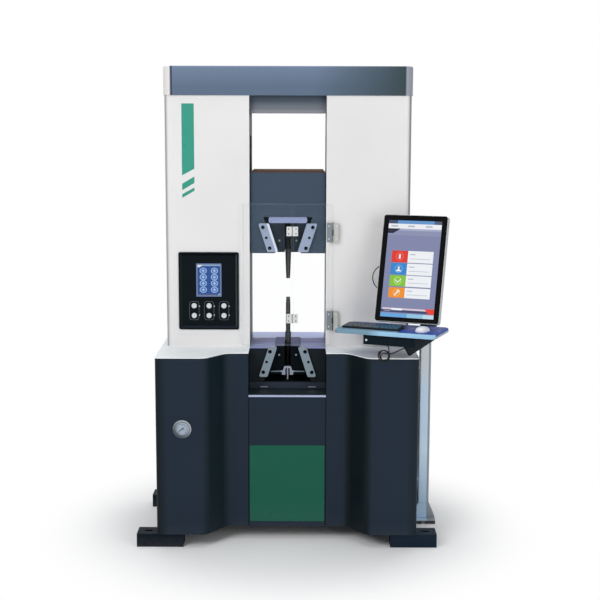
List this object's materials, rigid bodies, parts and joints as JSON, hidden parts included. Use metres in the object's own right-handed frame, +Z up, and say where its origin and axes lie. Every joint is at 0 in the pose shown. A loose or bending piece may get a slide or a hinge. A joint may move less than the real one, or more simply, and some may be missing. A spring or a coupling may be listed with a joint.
{
  "type": "universal testing machine",
  "caption": "Universal testing machine: twin-column hydraulic frame with wedge grips holding a broken test bar, folding clear guard, base cabinet and swivelling console.",
  "frame": {"origin": "on the floor, at the centre of the four foot slots", "axes": "+X to the operator's right, -Y towards the operator, +Z up"},
  "size_m": [1.4924, 0.8852, 2.3],
  "materials": {
    "foot_black": "satin",
    "frame_grey": "satin",
    "base_blue": "satin",
    "deck_white": "satin",
    "door_green": "satin",
    "ledge_steel": "satin",
    "table_lavender": "satin",
    "column_white": "satin",
    "strip_dark": "satin",
    "cover_slate": "satin",
    "head_slate": "satin",
    "cap_primer": "matt",
    "plate_steel": "ground",
    "jaw_steel": "ground",
    "yoke_steel": "bright",
    "rod_chrome": "polished",
    "barrel_steel": "satin",
    "specimen_steel": "turned",
    "guard_clear": "clear",
    "hinge_steel": "satin",
    "hinge_white": "satin",
    "panel_black": "satin",
    "panel_screen": "gloss",
    "button_grey": "gloss",
    "gauge_black": "satin",
    "gauge_glass": "gloss",
    "needle_black": "matt",
    "post_steel": "satin",
    "arm_black": "satin",
    "tray_blue": "satin",
    "key_black": "matt",
    "mouse_white": "gloss",
    "monitor_grey": "satin",
    "monitor_glass": "gloss",
    "cord_black": "matt"
  },
  "bodies": {
    "machine": {"foot_bars": "foot_black", "base_frame": "frame_grey", "base_cover_left": "base_blue", "base_cover_right": "base_blue", "base_rear_panel": "base_blue", "deck_plates": "deck_white", "centre_panel": "base_blue", "service_panel": "door_green", "table_ledge": "ledge_steel", "table_plate": "table_lavender", "power_pack": "frame_grey", "guide_columns": "rod_chrome", "lift_cylinders": "barrel_steel", "column_cover_left": "column_white", "column_cover_right": "column_white", "column_inner_strips": "strip_dark", "top_beam": "frame_grey", "top_cover": "cover_slate", "lower_grip_block": "head_slate", "lower_guide_plates": "plate_steel", "specimen_lower": "specimen_steel", "guard_hinge_fixed": "hinge_steel", "control_bezel": "panel_black", "control_screen": "panel_screen", "gauge_case": "gauge_black", "gauge_glass": "gauge_glass", "console_post": "post_steel"},
    "crosshead": {"crosshead_body": "head_slate", "crosshead_top_plate": "cap_primer", "lift_rods": "rod_chrome", "upper_guide_plates": "plate_steel", "specimen_upper": "specimen_steel"},
    "upper_yoke": {"upper_yoke": "yoke_steel"},
    "upper_jaw_left": {"upper_jaw_left": "jaw_steel"},
    "upper_jaw_right": {"upper_jaw_right": "jaw_steel"},
    "lower_yoke": {"lower_yoke": "yoke_steel"},
    "lower_jaw_left": {"lower_jaw_left": "jaw_steel"},
    "lower_jaw_right": {"lower_jaw_right": "jaw_steel"},
    "guard_right": {"guard_sheet_right": "guard_clear", "guard_hinge_leaves": "hinge_steel", "fold_hinge_right": "hinge_white"},
    "guard_left": {"guard_sheet_left": "guard_clear", "fold_hinge_left": "hinge_white"},
    "console": {"swivel_arm": "arm_black", "tray": "tray_blue", "keyboard": "key_black", "mouse": "mouse_white", "monitor_lead": "cord_black", "hanging_lead": "cord_black", "hanging_coil": "cord_black"},
    "monitor": {"monitor_case": "monitor_grey", "monitor_screen": "monitor_glass"},
    "gauge_needle": {"gauge_needle": "needle_black"},
    "button_1": {"button_1": "button_grey"},
    "button_2": {"button_2": "button_grey"},
    "button_3": {"button_3": "button_grey"},
    "button_4": {"button_4": "button_grey"},
    "button_5": {"button_5": "button_grey"},
    "button_6": {"button_6": "button_grey"}
  },
  "joints": [
    {"name": "crosshead_slide", "type": "slide", "parent": "machine", "child": "crosshead", "axis": [0, 0, 1], "range_m": [-0.085, 0.26]},
    {"name": "upper_yoke_slide", "type": "slide", "parent": "crosshead", "child": "upper_yoke", "axis": [0, 0, 1], "range_m": [0, 0.025]},
    {"name": "upper_jaw_left_slide", "type": "slide", "parent": "crosshead", "child": "upper_jaw_left", "axis": [-0.309, 0, 0.9511], "range_m": [0, 0.0265]},
    {"name": "upper_jaw_right_slide", "type": "slide", "parent": "crosshead", "child": "upper_jaw_right", "axis": [0.309, 0, 0.9511], "range_m": [0, 0.0265]},
    {"name": "lower_yoke_slide", "type": "slide", "parent": "machine", "child": "lower_yoke", "axis": [0, 0, -1], "range_m": [0, 0.025]},
    {"name": "lower_jaw_left_slide", "type": "slide", "parent": "machine", "child": "lower_jaw_left", "axis": [-0.309, 0, -0.9511], "range_m": [0, 0.0265]},
    {"name": "lower_jaw_right_slide", "type": "slide", "parent": "machine", "child": "lower_jaw_right", "axis": [0.309, 0, -0.9511], "range_m": [0, 0.0265]},
    {"name": "guard_hinge", "type": "hinge", "parent": "machine", "child": "guard_right", "pos_m": [0.22, -0.083, 1.2825], "axis": [0, 0, 1], "range_deg": [0, 50]},
    {"name": "guard_fold", "type": "hinge", "parent": "guard_right", "child": "guard_left", "pos_m": [0.022, -0.083, 1.2825], "axis": [0, 0, 1], "range_deg": [0, 60]},
    {"name": "console_swivel", "type": "hinge", "parent": "machine", "child": "console", "pos_m": [0.6954, 0.05, 1.17], "axis": [0, 0, 1], "range_deg": [-2, 60]},
    {"name": "monitor_tilt", "type": "hinge", "parent": "console", "child": "monitor", "pos_m": [0.61057, -0.22665, 1.32962], "axis": [0.9239, -0.3827, 0], "range_deg": [-10, 13]},
    {"name": "gauge_needle_turn", "type": "hinge", "parent": "machine", "child": "gauge_needle", "pos_m": [-0.498, -0.374, 0.5865], "axis": [0, 1, 0], "range_deg": [-8, 262]},
    {"name": "button_1_press", "type": "slide", "parent": "machine", "child": "button_1", "axis": [0, 1, 0], "range_m": [0, 0.004], "stiffness_N_per_m": 400},
    {"name": "button_2_press", "type": "slide", "parent": "machine", "child": "button_2", "axis": [0, 1, 0], "range_m": [0, 0.004], "stiffness_N_per_m": 400},
    {"name": "button_3_press", "type": "slide", "parent": "machine", "child": "button_3", "axis": [0, 1, 0], "range_m": [0, 0.004], "stiffness_N_per_m": 400},
    {"name": "button_4_press", "type": "slide", "parent": "machine", "child": "button_4", "axis": [0, 1, 0], "range_m": [0, 0.004], "stiffness_N_per_m": 400},
    {"name": "button_5_press", "type": "slide", "parent": "machine", "child": "button_5", "axis": [0, 1, 0], "range_m": [0, 0.004], "stiffness_N_per_m": 400},
    {"name": "button_6_press", "type": "slide", "parent": "machine", "child": "button_6", "axis": [0, 1, 0], "range_m": [0, 0.004], "stiffness_N_per_m": 400}
  ],
  "couplings": [
    {"joint": "upper_jaw_left_slide", "follows": "upper_yoke_slide", "ratio": 1.0515},
    {"joint": "upper_jaw_right_slide", "follows": "upper_yoke_slide", "ratio": 1.0515},
    {"joint": "lower_jaw_left_slide", "follows": "lower_yoke_slide", "ratio": 1.0515},
    {"joint": "lower_jaw_right_slide", "follows": "lower_yoke_slide", "ratio": 1.0515}
  ]
}
